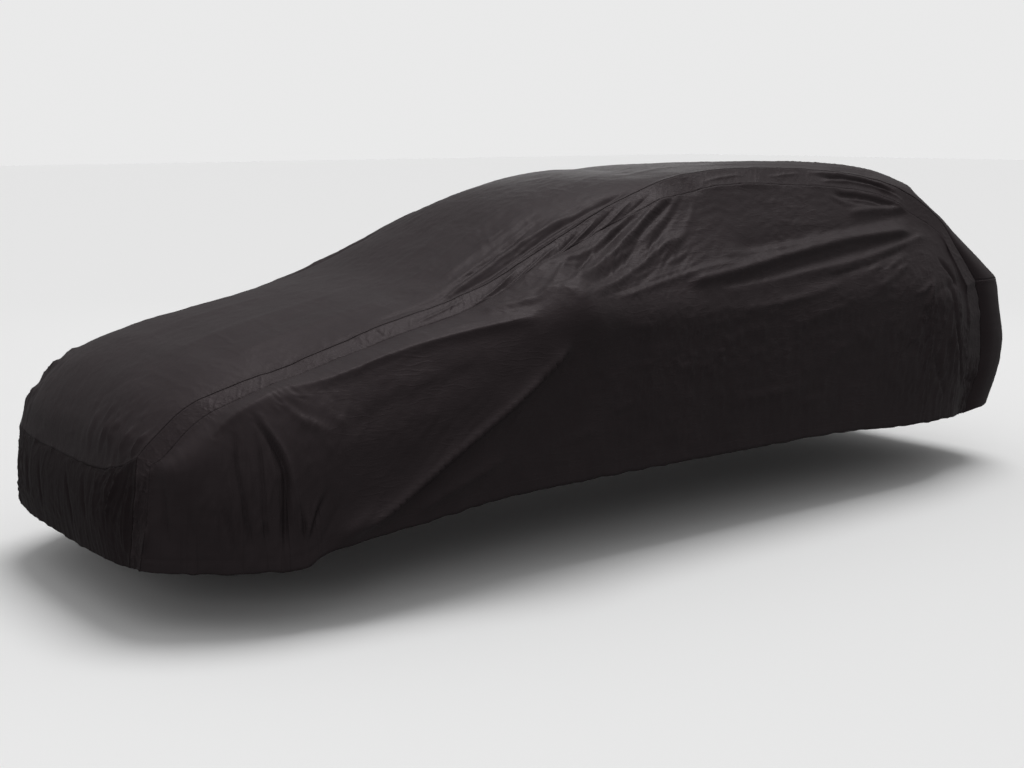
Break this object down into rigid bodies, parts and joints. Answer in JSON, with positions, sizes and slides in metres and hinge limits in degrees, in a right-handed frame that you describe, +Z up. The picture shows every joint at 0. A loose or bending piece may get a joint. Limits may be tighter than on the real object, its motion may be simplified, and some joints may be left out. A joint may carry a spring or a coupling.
{
  "type": "car cover",
  "caption": "Fitted cloth cover for an estate car: shaped panels with edge strips along both sides and a gathered hem, hollow and open below.",
  "frame": {"origin": "on the underside of the cloth where it lies on the car's roof, on the centre line, in the middle of the wheelbase", "axes": "+Z up, +Y along the car towards its rear, +X towards the car's left side"},
  "size_m": [1.9381, 4.653, 1.2709],
  "materials": {
    "top_cloth": "satin black coated cloth, crinkled",
    "nose_cloth": "satin black coated cloth, gathered at the hem",
    "tail_cloth": "satin black coated cloth, gathered at the hem",
    "side_cloth": "satin black coated cloth, folded and crinkled",
    "strip_cloth": "satin black coated cloth, puckered along its seams"
  },
  "bodies": {
    "root": {"top_panel": "top_cloth", "nose_panel": "nose_cloth", "tail_panel": "tail_cloth", "left_side_panel": "side_cloth", "right_side_panel": "side_cloth", "left_edge_strip": "strip_cloth", "right_edge_strip": "strip_cloth"}
  },
  "joints": []
}
